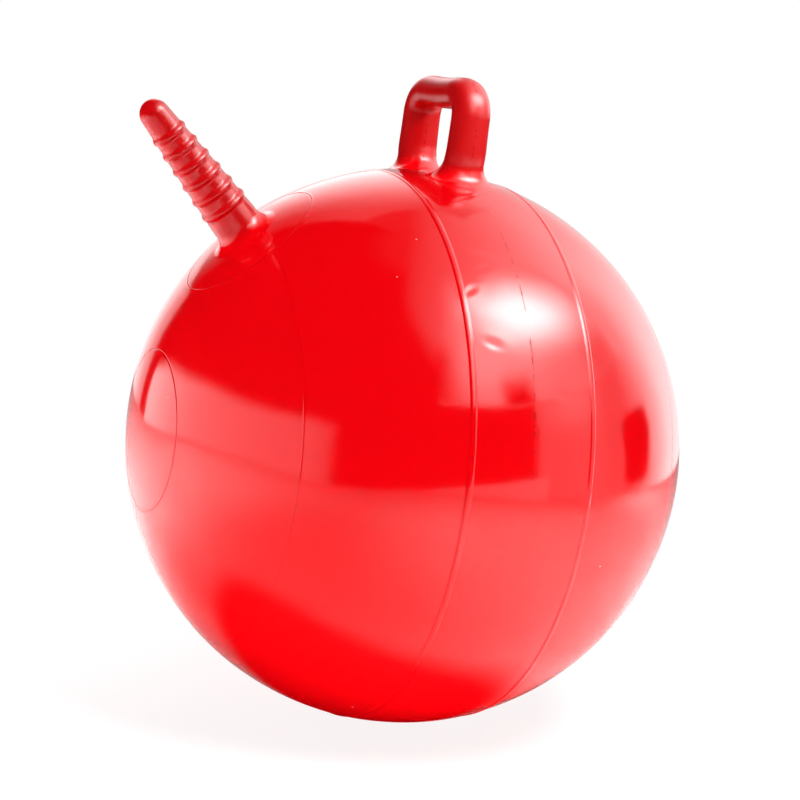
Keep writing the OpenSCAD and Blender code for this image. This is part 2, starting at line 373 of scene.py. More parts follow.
def makeVinyl(name, values):
    material, tree, surface = newMaterial(name)
    where = tree.nodes.new("ShaderNodeTexCoord").outputs["Object"]
    grain = placeGroup(tree, grainGroup, where, values["grain"])
    masks = {mark: markOf(tree, mark) for mark in values["marks"]}
    masks["cloud"] = grain["Cloud"]
    masks["dust"] = placeGroup(tree, dustGroup, where, values["specks"])["Mask"]
    if "streaks" in values:
        masks["scuff"] = placeGroup(tree, scuffGroup, where, values["streaks"])["Mask"]
    colour = values["colour"]
    for mask, tint, share in values["tints"]:
        colour = mixColour(tree, mathNode(tree, "MULTIPLY", masks[mask], share), colour, tint)
    rough = values["roughness"]
    for mask, more in values["rougher"].items():
        rough = mathNode(tree, "ADD", rough, mathNode(tree, "MULTIPLY", masks[mask], more))
    gloss = mathNode(tree, "MULTIPLY_ADD", masks["line"], values["lineGloss"], values["gloss"])
    peel = addNode(tree, "ShaderNodeBump", {"Strength": values["peelStrength"],
                                            "Distance": values["peelDepth"], "Height": grain["Height"]})
    shader = addNode(tree, "ShaderNodeBsdfPrincipled",
                     {"Base Color": colour, "Roughness": rough, "Normal": peel.outputs["Normal"],
                      "Specular IOR Level": gloss, "IOR": values["ior"]})
    tree.links.new(shader.outputs["BSDF"], surface)
    return material


redVinyl = makeVinyl("redVinyl", vinyl)
stopperWhite = makeVinyl("stopperWhite", stopper)
print("materials made")

# ball skin: rows of lean, each with a height, carried round the Y axis; the inner wall
# closes the shell


def finePlaces(start, end, step, features):
    # places from start to end, a step apart, with finer ones within reach of each feature
    places = [np.linspace(start, end, int(abs(end - start) / step) + 2)]
    for middle, reach, fine in features:
        near = np.arange(middle - reach, middle + reach + fine / 2, fine)
        places.append(near[(near > start) & (near < end)])
    places = np.unique(np.round(np.concatenate(places), 6))
    return places[np.concatenate([[True], np.diff(places) > meshing["rowSpacing"]])]


def skinShell(name, arc, height, line, columns, extra=None, innerRows=20, pole=False):
    # outer rows at arc lengths from the middle plane (arc = radius * lean), then the inner
    # wall a skin's thickness below; pole says that the last rows meet at the axis
    turn = np.arange(columns) * 360 / columns
    lean = np.degrees(arc / ball["radius"])
    outer = direction(lean[:, None], turn)
    up = acrossRows(height, columns)
    dark = acrossRows(line, columns)
    if extra is not None:
        addUp, addDark = extra(arc[:, None], turn)
        up += addUp
        dark += addDark
    backLean = np.linspace(lean[-1], lean[0], innerRows)
    inner = direction(backLean[:, None], turn)
    below = np.full(inner.shape[:2], -ball["skin"])
    d = np.concatenate([outer, inner])
    h = np.concatenate([up, below])
    dark = np.concatenate([dark, np.zeros(inner.shape[:2])])
    quads = gridFaces(len(d), columns, closeRows=not pole)
    return addPiece(name, onBall(d, h), quads, redVinyl, {"line": np.clip(dark, 0, 1)})


# beadRows and the like give the reach of the finer rows beside a feature, and their spacing
band = {
    "columns": 720, "step": 0.0034,
    "beadY": 0.060, "beadWidth": 0.0064, "beadHeight": 0.0007, "beadEdge": 0.0019,
    "beadRows": (0.0038, 0.00026),
    # footLine is painted shade along the foot of each bead on its -Y side
    "footLine": 0.10, "footLineWidth": 0.0006,
    "flashY": -0.003,  # thin broken line of flash where the mould parts
    # flashLine is painted shade along the flash ridge
    "flashWidth": 0.0011, "flashHeight": 0.00014, "flashLine": 0.95, "flashSeed": 5,
    "flashRows": (0.0008, 0.00016),
    "flashTurn": 56,  # where it shows most, there and on the other side
    "flashSpan": (0.82, 0.95),  # cosines of the turn away from there, where it starts and is full
}

broken = {"wavelengths": (0.0057, 0.0083, 0.017, 0.06), "phases": 6.3, "full": 1.2}


def dashes(s, seed):
    # short broken line along s in metres: 0 to 1, from a few sines of random phase
    rng = np.random.default_rng(seed)
    total = 0
    for wavelength in broken["wavelengths"]:
        total = total + np.sin(2 * np.pi * s / wavelength + rng.uniform(0, broken["phases"]))
    return smoothstep(0.0, broken["full"], total)


def bandFlash(arc, turn):
    along = np.radians(turn) * ball["radius"]
    amount = dashes(along, band["flashSeed"])
    facing = np.abs(np.cos(np.radians(turn - band["flashTurn"])))
    amount = amount * smoothstep(*band["flashSpan"], facing)
    away = arc - band["flashY"]
    up = bump(away, band["flashWidth"], band["flashHeight"]) * amount
    # painted shade along the flash ridge
    dark = shadeLine(2 * away, band["flashWidth"]) * band["flashLine"] * amount
    return up, dark


def makeBand():
    seam = arcAt(ball["seamY"]) - ball["seamGap"] / 2
    beadArc = arcAt(band["beadY"])
    features = [(side * beadArc, *band["beadRows"]) for side in (-1, 1)]
    features.append((band["flashY"], *band["flashRows"]))
    arc = finePlaces(-seam, seam, band["step"], features)
    height = np.zeros(len(arc))
    line = np.zeros(len(arc))
    for side in (-1, 1):
        away = arc - side * beadArc
        height += bead(away, band["beadWidth"], band["beadHeight"], band["beadEdge"])
        # painted shade at the -Y foot of each bead
        line += band["footLine"] * shadeLine(away + band["beadWidth"] / 2, band["footLineWidth"])
    return skinShell("centreBand", arc, height, line, band["columns"], bandFlash)


dome = {
    "columns": 560, "step": 0.0042,
    "ringY": 0.190, "ringWidth": 0.0026, "ringHeight": 0.00018, "ringRows": (0.0018, 0.0003),
    # ringLine and rimLine are painted shade, along the ring's ridge and in the groove round each disc
    "ringLine": 0.12, "ringLineWidth": 0.0007,
    "grooveWidth": 0.0022, "grooveDepth": 0.00034, "rimRows": (0.0016, 0.0002),
    "rimLine": 0.35, "rimLineWidth": 0.0008,
}


def rimShade(d):
    # painted shade: a dark line in the groove round a disc, d measured from its middle
    return dome["rimLine"] * shadeLine(d, dome["rimLineWidth"])


def makeDome(name, side):
    seam = arcAt(ball["seamY"]) + ball["seamGap"] / 2
    ring = arcAt(dome["ringY"])
    rim = rimAt(ball["discRadius"])
    end = rim - ball["seamGap"] / 2
    arc = finePlaces(seam, end, dome["step"], [(ring, *dome["ringRows"]), (end, *dome["rimRows"])])
    height = bump(arc - ring, dome["ringWidth"], dome["ringHeight"]) + wallGroove(arc - rim)
    line = dome["ringLine"] * shadeLine(arc - ring, dome["ringLineWidth"]) + rimShade(arc - rim)
    return skinShell(name, side * arc, height, line, dome["columns"])


disc = {"columns": 360, "step": 0.0035, "innerRows": 14}


def makeDisc(name, side, hole):
    # round disc at a pole; hole is the radius of the opening in its middle, or 0
    rim = rimAt(ball["discRadius"])
    start = rim + ball["seamGap"] / 2
    arc = finePlaces(start, rimAt(hole), disc["step"], [(start, *dome["rimRows"])])
    return skinShell(name, side * arc, wallGroove(arc - rim), rimShade(arc - rim), disc["columns"],
                     innerRows=disc["innerRows"], pole=hole == 0)


valve = {
    "columns": 144,
    "edge": 0.0003,  # small rounding of the moulded edges
    "collarRadius": 0.014,
    "collarFoot": 0.0004,  # height of the step between collar and flange
    "flangeRadius": 0.024, "flangeThick": 0.0025, "skinClear": 0.0001,
    "seatLength": 0.017, "bossRadius": 0.0095,
    "headRadius": 0.0105, "headThick": 0.0034, "headProud": 0.0014, "headClear": 0.0003,
    "headRound": 0.0011, "headDome": 0.0004, "faceRows": 24, "roundRows": 9,
    "gateRadius": 0.0012, "gateDepth": 0.0003,  # small dimple where the stopper was moulded from
    "gateLine": (0.0004, 0.001),  # width of the line of painted shade round it, and how deep it reaches
    "stemRadius": 0.0055, "stemTaper": 3.0, "stemLength": 0.018, "stemClear": 0.00006,
}


def smoothCorners(points, radius, steps=5, share=0.45):
    # rounds the inner corners of a polyline by quadratic curves that start radius away, or at a
    # share of the shorter side
    out = [points[0]]
    for before, here, after in zip(points[:-2], points[1:-1], points[2:]):
        a, b, c = (np.array(p, float) for p in (before, here, after))
        reach = min(radius, share * np.linalg.norm(a - b), share * np.linalg.norm(c - b))
        p = b + (a - b) / np.linalg.norm(a - b) * reach
        q = b + (c - b) / np.linalg.norm(c - b) * reach
        for t in np.linspace(0, 1, steps):
            out.append((1 - t) ** 2 * p + 2 * t * (1 - t) * b + t * t * q)
    out.append(points[-1])
    return np.array([np.array(p, float) for p in out])


def revolveOnY(name, profile, columns, material, line=None, closeRows=False):
    # profile of (radius, distance from the ball's centre along +Y), carried round that axis
    turn = np.radians(np.arange(columns) * 360 / columns)
    radius = profile[:, 0][:, None]
    along = np.broadcast_to(profile[:, 1][:, None], (len(profile), columns))
    p = np.stack([radius * np.sin(turn), along, radius * np.cos(turn)], axis=-1) + ballCentre
    marks = {} if line is None else {"line": acrossRows(line, columns)}
    return addPiece(name, p, gridFaces(len(profile), columns, closeRows), material, marks)


def makeValveSeat():
    r = ball["radius"]
    v = valve
    headLow = r + v["headProud"] - v["headThick"]
    recess = headLow - v["headClear"]
    inner = r - ball["skin"] - v["skinClear"]
    seatEnd = r - v["seatLength"]
    taper = np.tan(np.radians(v["stemTaper"]))
    boreTop = v["stemRadius"] - v["headClear"] * taper + v["stemClear"]
    boreEnd = v["stemRadius"] - (headLow - seatEnd) * taper + v["stemClear"]
    collarTop = np.sqrt(r * r - v["collarRadius"] ** 2)
    flangeTop = np.sqrt(inner * inner - v["flangeRadius"] ** 2)
    lip = v["headRadius"] + v["headClear"]
    outline = [
        (boreTop, recess), (lip, recess), (lip, np.sqrt(r * r - lip * lip)),
        (v["collarRadius"], collarTop), (v["collarRadius"], inner - v["collarFoot"]),
        (v["flangeRadius"], flangeTop), (v["flangeRadius"], inner - v["flangeThick"]),
        (v["bossRadius"], inner - v["flangeThick"]), (v["bossRadius"], seatEnd), (boreEnd, seatEnd),
    ]
    closing = [outline[-1]] + outline + [outline[0]]
    profile = smoothCorners(closing, v["edge"])[1:-1]
    return revolveOnY("valveSeat", profile, v["columns"], redVinyl, closeRows=True)


def makePlug():
    v = valve
    top = ball["radius"] + v["headProud"]
    low = top - v["headThick"]
    end = low - v["stemLength"]
    taper = np.tan(np.radians(v["stemTaper"]))
    tip = v["stemRadius"] - v["stemLength"] * taper
    across = np.linspace(0, v["headRadius"] - v["headRound"], v["faceRows"])
    crown = top + v["headDome"] * (1 - (across / across[-1]) ** 2)
    crown -= v["gateDepth"] * np.exp(-(across / v["gateRadius"]) ** 4)
    face = np.stack([across, crown], axis=-1)
    a = np.radians(np.linspace(90, 0, v["roundRows"])[1:])
    corner = np.stack([v["headRadius"] - v["headRound"] * (1 - np.cos(a)),
                       top - v["headRound"] * (1 - np.sin(a))], axis=-1)
    rest = smoothCorners(
        [tuple(corner[-1]), (v["headRadius"], low), (v["stemRadius"], low), (tip, end), (0, end)], v["edge"])
    profile = np.concatenate([face, corner, rest[1:]])
    width, depth = v["gateLine"]
    # painted shade round the gate's dimple
    line = shadeLine(profile[:, 0] - v["gateRadius"], width) * (profile[:, 1] > top - depth)
    return revolveOnY("airPlug", profile, v["columns"], stopperWhite, line)


# horn: a round profile carried round its own axis, which leans forward from the ball's centre

horn = {
    "columns": 220,
    "angle": 45,  # above the horizontal
    "length": 0.155, "taper": 4.0, "tipRadius": 0.014, "tipRows": 26,
    "step": 0.0006,  # between the rows of the cone
    "fillet": 0.016, "filletRows": 22,
    "discRadius": 0.071, "discStep": 0.003,
    "discStart": 0.002,  # its first row, from the fillet's end
    "discProud": 0.00035,  # its welded edge stands a little above the dome
    "discRise": 0.02,  # length over which it comes to stand so
    "rimFlat": 0.0007, "feather": 0.0040,
    "tuck": 0.00025,  # how far its thin edge dips
    "underRows": 12, "underInset": 0.0005, "underDepth": 0.0006,  # its underside, inside the dome
    "ribCount": 6, "ribPitch": 0.017, "ribStart": 0.034, "ribWidth": 0.011, "ribHeight": 0.0019,
    "wall": 0.6,  # how far its vinyl is like that of the loop
}


def hornRadius(s):
    # cone tangent to the round tip, s from the ball's centre
    h = horn
    tipS = ball["radius"] + h["length"] - h["tipRadius"]
    t = np.radians(h["taper"])
    endS = tipS + h["tipRadius"] * np.sin(t)
    return h["tipRadius"] * np.cos(t) + (endS - s) * np.tan(t), endS, tipS


def makeHorn():
    h = horn
    r = ball["radius"]
    f = h["fillet"]
    _, endS, tipS = hornRadius(0.0)
    # round tip, from the axis to where the cone starts
    a = np.radians(np.linspace(90, h["taper"], h["tipRows"]))
    tip = np.stack([h["tipRadius"] * np.cos(a), tipS + h["tipRadius"] * np.sin(a)], axis=-1)
    # cone with its ribs, down to the fillet
    neck = hornRadius(r + f)[0]
    centreRho = neck + f
    centreS = np.sqrt((r + f) ** 2 - centreRho ** 2)
    s = np.arange(endS - h["step"], centreS, -h["step"])
    rho = hornRadius(s)[0]
    for i in range(h["ribCount"]):
        rib = r + h["ribStart"] + i * h["ribPitch"]
        rho = rho + bump(s - rib, h["ribWidth"], h["ribHeight"])
    cone = np.stack([rho, s], axis=-1)
    # fillet: an arc from the cone round to the ball
    arc = np.linspace(np.pi, np.pi + np.arctan2(centreS, centreRho), h["filletRows"])
    fillet = np.stack([centreRho + f * np.cos(arc), centreS + f * np.sin(arc)], axis=-1)
    # disc on the ball out to its rim with a groove inside it, then feathered into the dome
    startArc = r * np.arcsin(centreRho / (r + f))
    rimArc = arcAt(h["discRadius"])
    edgeArc = rimArc + h["feather"]
    out = finePlaces(startArc + h["discStart"], edgeArc, h["discStep"], [(rimArc, *dome["rimRows"])])
    lift = h["discProud"] * smoothstep(startArc, startArc + h["discRise"], out)
    lift *= 1 - smoothstep(rimArc + h["rimFlat"], edgeArc, out)
    lift += wallGroove(out - rimArc)
    lift[-1] -= h["tuck"]
    under = np.linspace(edgeArc - h["underInset"], 0, h["underRows"])
    ways = np.concatenate([out, under])
    lifts = np.concatenate([lift, np.full(len(under), -h["underDepth"])])
    # everything above the ball is in the horn's own axes; the disc follows the uneven skin
    axis = np.array([0, -np.cos(np.radians(h["angle"])), np.sin(np.radians(h["angle"]))])
    side = np.array([1.0, 0, 0])
    front = np.cross(axis, side)
    turn = np.radians(np.arange(h["columns"]) * 360 / h["columns"])
    around = np.cos(turn)[:, None] * side + np.sin(turn)[:, None] * front
    post = np.concatenate([tip, cone, fillet])
    upper = ballCentre + post[:, 1][:, None, None] * axis + post[:, 0][:, None, None] * around
    angle = (ways / r)[:, None, None]
    d = np.cos(angle) * axis + np.sin(angle) * around
    lower = onBall(d, np.broadcast_to(lifts[:, None], d.shape[:2]))
    points = np.concatenate([upper, lower])
    line = np.concatenate([np.zeros(len(post)), rimShade(out - rimArc), np.zeros(len(under))])
    wall = np.concatenate([h["wall"] * smoothstep(r, r + f, post[:, 1]), np.zeros(len(ways))])
    marks = {"line": acrossRows(line, h["columns"]), "wall": acrossRows(wall, h["columns"])}
    return addPiece("hornGrip", points, gridFaces(len(points), h["columns"]), redVinyl, marks)


# handle: an oval section carried along the loop, swelling into a flare at each foot

handle = {
    "columns": 176, "rows": 200,
    "footRows": (0.016, 40),  # reach and number of more rows at the foot
    "crowding": 0.44,  # of the columns, towards the flash lines
    "legX": 0.055, "barZ": 0.623, "cornerRadius": 0.024, "kneeRadius": 0.040, "kneeZ": 0.570,
    "halfThick": 0.015,  # half of the section across the loop
    "halfWide": 0.019,  # and along Y
    "squareness": 2.15,  # 2 is a true oval, more is squarer
    "footWide": 0.0012, "footTaper": 0.06,  # how much wider it is at its foot, and over what length
    "flare": 0.017,
    "barDip": 0.0012, "dipPast": 0.012,  # and how far the dip runs on past the bar's straight part
    "root": 0.0010,  # how far the foot runs on under the skin
    "dropReach": 0.018,  # how far up the foot follows the ball's curve
    # flashLine is painted shade along the loop's flash ridges
    "flashHeight": 0.00012, "flashAngle": 0.022, "flashLine": 0.9, "flashSeed": 9,
    "flashStart": (0.004, 0.010),
}


def loopPath():
    # middle line of one half of the loop in the XZ plane, from the ball's surface to the
    # middle of the bar: straight foot, bend, upright leg, corner, bar with a slight dip
    h = handle
    z0 = ballCentre[2]
    kneeX = h["legX"] - h["kneeRadius"]
    kneeZ = h["kneeZ"] - z0
    reach = np.hypot(kneeX, kneeZ)
    foot = np.arcsin(h["kneeRadius"] / reach) + np.arctan2(kneeX, kneeZ)
    kneeStart = np.array([kneeX + h["kneeRadius"] * np.cos(foot), kneeZ - h["kneeRadius"] * np.sin(foot)])
    kneeS = np.linalg.norm(kneeStart)
    r = ball["radius"]
    cornerX = h["legX"] - h["cornerRadius"]
    cornerZ = h["barZ"] - z0 - h["cornerRadius"]
    lengths = np.array([kneeS - r, h["kneeRadius"] * foot, cornerZ - kneeZ,
                        h["cornerRadius"] * np.pi / 2, cornerX])
    ends = np.concatenate([[0], np.cumsum(lengths)])
    s = np.linspace(-h["root"], ends[-1], h["rows"])
    s = np.sort(np.concatenate([s, np.linspace(-h["root"], *h["footRows"])]))
    s = s[np.concatenate([[True], np.diff(s) > meshing["sameRow"]])]
    bend = foot - (s - ends[1]) / h["kneeRadius"]
    corner = (s - ends[3]) / h["cornerRadius"]
    # where each stage starts, its x and z, and its heading as an angle from straight up towards +X
    stages = (
        (-np.inf, np.sin(foot) * (r + s), np.cos(foot) * (r + s), foot),
        (ends[1], kneeX + h["kneeRadius"] * np.cos(bend), kneeZ - h["kneeRadius"] * np.sin(bend), bend),
        (ends[2], h["legX"], kneeZ + s - ends[2], 0),
        (ends[3], cornerX + h["cornerRadius"] * np.cos(corner),
         cornerZ + h["cornerRadius"] * np.sin(corner), -corner),
        (ends[4], cornerX - (s - ends[4]), h["barZ"] - z0, -np.pi / 2),
    )
    path = np.zeros((3, len(s)))
    for start, *values in stages:
        for i, value in enumerate(values):
            path[i] = np.where(s > start, value, path[i])
    x, z, heading = path
    dip = h["barDip"] * (1 - smoothstep(0, cornerX + h["dipPast"], np.abs(x))) * (s > ends[3])
    return s, x, z - dip, heading, foot


def makeHandle():
    h = handle
    r = ball["radius"]
    s, x, z, heading, foot = loopPath()
    # columns crowd together at the two flash lines, on the outside and inside of the loop
    u = np.arange(h["columns"]) / h["columns"]
    angle = 2 * np.pi * u - h["crowding"] * np.sin(4 * np.pi * u)
    c, sn = np.cos(angle), np.sin(angle)
    power = 2 / h["squareness"]
    across = np.sign(c) * np.abs(c) ** power
    wide = np.sign(sn) * np.abs(sn) ** power
    # flare: a quarter arc that grows outwards below its own radius
    low = np.clip(1 - s / h["flare"], 0, 1)
    grow = h["flare"] * (1 - np.sqrt(1 - low ** 2))
    amount = dashes(s, h["flashSeed"]) * smoothstep(*h["flashStart"], s)
    flash = sum(shadeLine(angle - place, h["flashAngle"]) for place in (0, np.pi, 2 * np.pi))
    ridge = amount[:, None] * flash
    thick = h["halfThick"] + grow[:, None] + h["flashHeight"] * ridge
    taper = h["footWide"] * (1 - smoothstep(0, h["footTaper"], s))
    breadth = h["halfWide"] + (grow + taper)[:, None]
    n = across * thick
    y = wide * breadth
    # the loop's outward normal in the XZ plane
    normalX, normalZ = np.cos(heading)[:, None], -np.sin(heading)[:, None]
    px = x[:, None] + normalX * n
    pz = z[:, None] + normalZ * n
    # near the skin the rows drop with the ball's curve, so that the flare's edge follows it
    drop = (n * n + y * y) / (2 * r) * (1 - smoothstep(0, h["dropReach"], s))[:, None]
    px = px - np.sin(foot) * drop
    pz = pz - np.cos(foot) * drop
    half = np.stack([px, y, pz], axis=-1)
    # painted shade along the flash ridges
    dark = h["flashLine"] * ridge
    other = half[::-1] * np.array([-1, 1, 1])
    points = np.concatenate([half, other[1:]]) + ballCentre
    dark = np.concatenate([dark, dark[::-1][1:]])
    # close both ends under the skin with a point
    ends = [np.repeat(points[i].mean(axis=0)[None, None, :], h["columns"], axis=1) for i in (0, -1)]
    points = np.concatenate([ends[0], points, ends[1]])
    dark = np.concatenate([np.zeros((1, h["columns"])), dark, np.zeros((1, h["columns"]))])
    wall = smoothstep(0, h["flare"], s)
    wall = np.concatenate([[0], wall, wall[::-1][1:], [0]])
    marks = {"line": dark, "wall": acrossRows(wall, h["columns"])}
    return addPiece("carryHandle", points, gridFaces(len(points), h["columns"]), redVinyl, marks)


stand(makeBand(), "centre_band")
stand(makeDome("frontDome", -1), "front_dome")
stand(makeDome("rearDome", 1), "rear_dome")
stand(makeDisc("frontDisc", -1, 0.0), "front_disc")
hole = valve["collarRadius"] + valve["skinClear"]
stand(makeDisc("rearDisc", 1, hole), "rear_disc")
hornGrip = makeHorn()
carryHandle = makeHandle()
stand(hornGrip, "horn_grip")
stand(carryHandle, "carry_handle")
stand(makeValveSeat(), "valve_seat")
stand(makePlug(), "air_plug", "plug")

# studio: a pale floor, cards that only the gloss sees, and soft light

studio = {
    "floorEdge": 1.88,  # nearest edge of the floor from the ball
    "floorEdgeAzimuth": 41.0, "floorReach": 2.4, "floorColour": (0.88, 0.88, 0.88, 1),
    "floorGlow": 0.84,  # share of plain white that the camera sees on the floor by the ball
    "shadowReach": (0.32, 0.80),  # from the ball, where that share climbs to all
    # the red here is a painted glow: the ball's red light on the floor under it, seen only in reflections
    "underRedGlow": (0.42, 0.0003, 0.002, 1), "ambient": 0.20,
}

# far surroundings above the cards: lighter towards the bright side of the studio
surround = {"level": 0.65, "swing": 4.3, "azimuth": 152, "least": 0.15}

# what reflections see of the floor: ovals, each with the turn of its first half axis, where its
# edge runs as a share of the half axes, and the share of light that is left in its middle; under
# the ball only the ball's own red is left
floorShades = {
    "under": {"place": (0.108, -0.120, 0), "halves": (0.205, 0.100, 1), "turn": 78.7, "edge": (0.95, 1.5),
              "share": 0.0},
    "front": {"place": (0.22, -0.33, 0), "halves": (0.75, 0.42, 1), "turn": -41.3, "edge": (0.25, 1.3),
              "share": 0.45},
    "behind": {"place": (-0.05, 0.25, 0), "halves": (1, 1, 1), "turn": 0.0, "edge": (0.08, 0.35),
               "share": 0.6},
}

# lamps: distant ones by direction, for what lights says, and square ones by place, for the floor
lamps = {
    "keyLight": {"azimuth": 142, "elevation": 56, "power": 1.86, "softness": 30, "lights": "ball"},
    "fillLight": {"azimuth": 20, "elevation": 38, "power": 1.52, "softness": 0, "lights": "ball",
                  "shadow": False},
    "loopLight": {"azimuth": 118, "elevation": 22, "power": 2.3, "softness": 8, "lights": "loop"},
    "floorLampRight": {"place": (0.80, 0.25, 1.3), "towards": (-0.1, 0.3, -1.0),
                       "power": 40.0, "size": 0.45},
    "floorLampLeft": {"place": (-0.30, -0.76, 1.314), "towards": (-0.94, -1.79, -1.0),
                      "power": 71.0, "size": 0.45},
    "floorLampBack": {"place": (-0.42, -0.28, 0.55), "towards": (0.01, 0.0, -1.0),
                      "power": 3.6, "size": 0.25, "shadow": False},
    "floorLampFar": {"place": (0.25, 1.95, 0.8), "towards": (0.01, 0.0, -1.0),
                     "power": 16.0, "size": 0.3},
}

# cards on a sphere about the ball, with azimuths from left to right and, at each of them or the
# same for all, the elevation of the top and the level of light; a fade is the height under the top
# over which a card turns into what is above it, leftFade and rightFade are such widths at its
# sides, leftRise is where what is beside the left one lights up, a glow is a soft spot of more or
# less light, and spares names what a card doesn't light: the loop, or both the loop and the horn
glowKeys = ("azimuth", "elevation", "wide", "tall", "skew", "level", "edge")
cards = {
    "ceiling": {"radius": 2.75, "azimuths": (-180, 180), "low": 44, "high": 90},
    "lowLeft": {"radius": 2.65, "azimuths": (-130, -104, -90, -82, -69), "low": -14, "high": 15,
                "levels": (0.9, 1.15, 1.45, 1.45, 0.8), "spares": "loop"},
    "leftWall": {"radius": 2.65, "azimuths": (-135, -102, -94, -86, -78, -69), "low": 15, "high": 66,
                 "levels": (2.2, 2.3, 1.9, 1.0, 0.25, 0), "fade": 32, "above": 0.5},
    "darkLeft": {"radius": 2.6, "azimuths": (-69, 42), "low": -14, "high": 82, "levels": 0, "fade": 12},
    "darkRight": {"radius": 2.6, "azimuths": (42, 77), "low": -14, "high": (84, 52), "levels": 0,
                  "fade": 18},
    "darkSide": {"radius": 2.6, "azimuths": (77, 122), "low": -14, "high": 25, "levels": 0,
                 "rightFade": 7, "beside": 1.0},
    "lowRight": {"radius": 2.2, "azimuths": (62, 122), "low": -12, "high": (-9, 1.6),
                 "levels": (0.8, 1.7), "spares": "loop"},
    "lowCard": {"radius": 2.3, "azimuths": (-60, -50, -26, 30, 42), "low": -10,
                "high": (5.5, 8.5, 12.5, 14.5, 14.5), "levels": (2.9, 2.85, 2.3, 1.35, 0.55),
                "fade": 5, "above": 0, "rightFade": 6, "beside": 0, "spares": "both"},
    "sideWall": {"radius": 2.6, "low": 13, "high": 52, "fade": 20,
                 "azimuths": (118, 146, 156, 166, 178, 190, 198, 206, 216, 226, 236, 250),
                 "levels": (1.1, 1.1, 0.7, 0.8, 2.0, 2.8, 2.9, 2.35, 1.65, 1.2, 0.85, 0.6),
                 "glows": ((136, 23, 14, 7, 0, 1.2, 1.0), (171, 4.5, 8, 7.5, 0, -4, 2.2))},
    "softbox": {"radius": 2.5, "azimuths": (75, 178), "low": 26, "high": 78, "levels": 2.3, "fade": 14,
                "leftFade": 20, "leftRise": (40, 52), "rightFade": 8, "beside": 2.4,
                "glows": ((131, 55, 27, 11, 0.9, 20, 1.3), (101, 42, 28, 14, 0, 3.2, 1.0),
                          (111, 26.5, 7.5, 9.5, 0, -3.6, 2.2), (163, 30, 12, 8, 0, -1.3, 1.6))},
}
# the foot of the side wall, without the fade of its top
cards["sideFoot"] = {**cards["sideWall"], "low": -6, "high": 13, "spares": "loop"}
del cards["sideFoot"]["fade"]


def studioDirection(azimuth, elevation):
    # azimuth 0 is the front (-Y) and 90 is +X
    x, z, y = np.moveaxis(direction(elevation, azimuth), -1, 0)
    return np.stack([x, -y, z], axis=-1)


def surroundLevel(a, e):
    facing = np.cos(np.radians(e)) * np.cos(np.radians(a - surround["azimuth"]))
    return np.clip(surround["level"] + surround["swing"] * facing, surround["least"], None)


def alongCard(card, key, a):
    # a card's value at azimuths a
    places = card["azimuths"]
    return np.interp(a, places, np.broadcast_to(card[key], len(places)))


def cardLevel(card, a, e, top):
    # an even change from place to place, then the glows, then the fades; each glow is
    # level * exp(-|x|^(2 edge) - |y|^(2 edge)), x and y measured in its own widths
    around = surroundLevel(a, e)
    level = alongCard(card, "levels", a) if "levels" in card else around
    for row in card.get("glows", ()):
        glow = dict(zip(glowKeys, row))
        y = e - glow["elevation"]
        x = (a - glow["azimuth"] + glow["skew"] * y) / glow["wide"]
        power = 2 * glow["edge"]
        level = level + glow["level"] * np.exp(-np.abs(x) ** power - np.abs(y / glow["tall"]) ** power)
    level = np.clip(level, 0, None)
    if "fade" in card:
        level = level + (card.get("above", around) - level) * smoothstep(top - card["fade"], top, e)
    left, *_, right = card["azimuths"]
    if "leftFade" in card:
        beside = around * smoothstep(*card["leftRise"], e)
        level = beside + (level - beside) * smoothstep(left, left + card["leftFade"], a)
    if "rightFade" in card:
        beside = card.get("beside", around)
        level = level + (beside - level) * smoothstep(right - card["rightFade"], right, a)
    return level


def addCard(name, card, material):
    # a grid of azimuth and elevation that only reflections see, with its level at each point
    rows, columns = 71, 121
    places = np.linspace(card["azimuths"][0], card["azimuths"][-1], columns)
    a, v = np.meshgrid(places, np.linspace(0, 1, rows))
    top = alongCard(card, "high", a)
    e = card["low"] + v * (top - card["low"])
    p = ballCentre + card["radius"] * studioDirection(a, e)
    quads = gridFaces(rows, columns, closeColumns=False)
    marks = {"level": cardLevel(card, a, e, top)}
    sheet = addPiece(name, p, quads, material, marks, closed=False)
    for ray in ("camera", "diffuse", "shadow", "transmission"):
        setattr(sheet, "visible_" + ray, False)
    return sheet


def placedAt(axes, place):
    # matrix with these three axes and this place
    return Matrix([[axis[i] for axis in axes] + [place[i]] for i in range(3)] + [[0, 0, 0, 1]])


def addLamp(name, values, receivers):
    # the gloss doesn't show the lamps, for the cards do that
    distant = "azimuth" in values
    lamp = bpy.data.lights.new(name, "SUN" if distant else "AREA")
    lamp.energy = values["power"]
    lamp.use_shadow = values.get("shadow", True)
    if distant:
        lamp.angle = np.radians(values["softness"])
        back = studioDirection(values["azimuth"], values["elevation"])
        place = ballCentre + back
    else:
        lamp.size = values["size"]
        back = -np.array(values["towards"])
        place = values["place"]
    back = back / np.linalg.norm(back)
    side = np.cross([0, 0, 1.0], back)
    side /= np.linalg.norm(side)
    source = addObject(name, lamp)
    source.matrix_world = placedAt((side, np.cross(back, side), back), place)
    source.visible_camera = False
    source.visible_glossy = False
    source.light_linking.receiver_collection = receivers


def receiverGroup(name, pieces, state):
    # lamps linked to it light these pieces alone (INCLUDE) or all but these (EXCLUDE)
    group = bpy.data.collections.new(name)
    for piece in pieces:
        group.objects.link(piece)
    for member in group.collection_objects:
        member.light_linking.link_state = state
    return group


def softRange(tree, value, reach, low):
    # low below the first of reach, 1 beyond the second, smooth between
    inputs = {"Value": value, "From Min": reach[0], "From Max": reach[1], "To Min": low, "To Max": 1.0}
    node = addNode(tree, "ShaderNodeMapRange", inputs, interpolation_type="SMOOTHSTEP")
    return node.outputs["Result"]


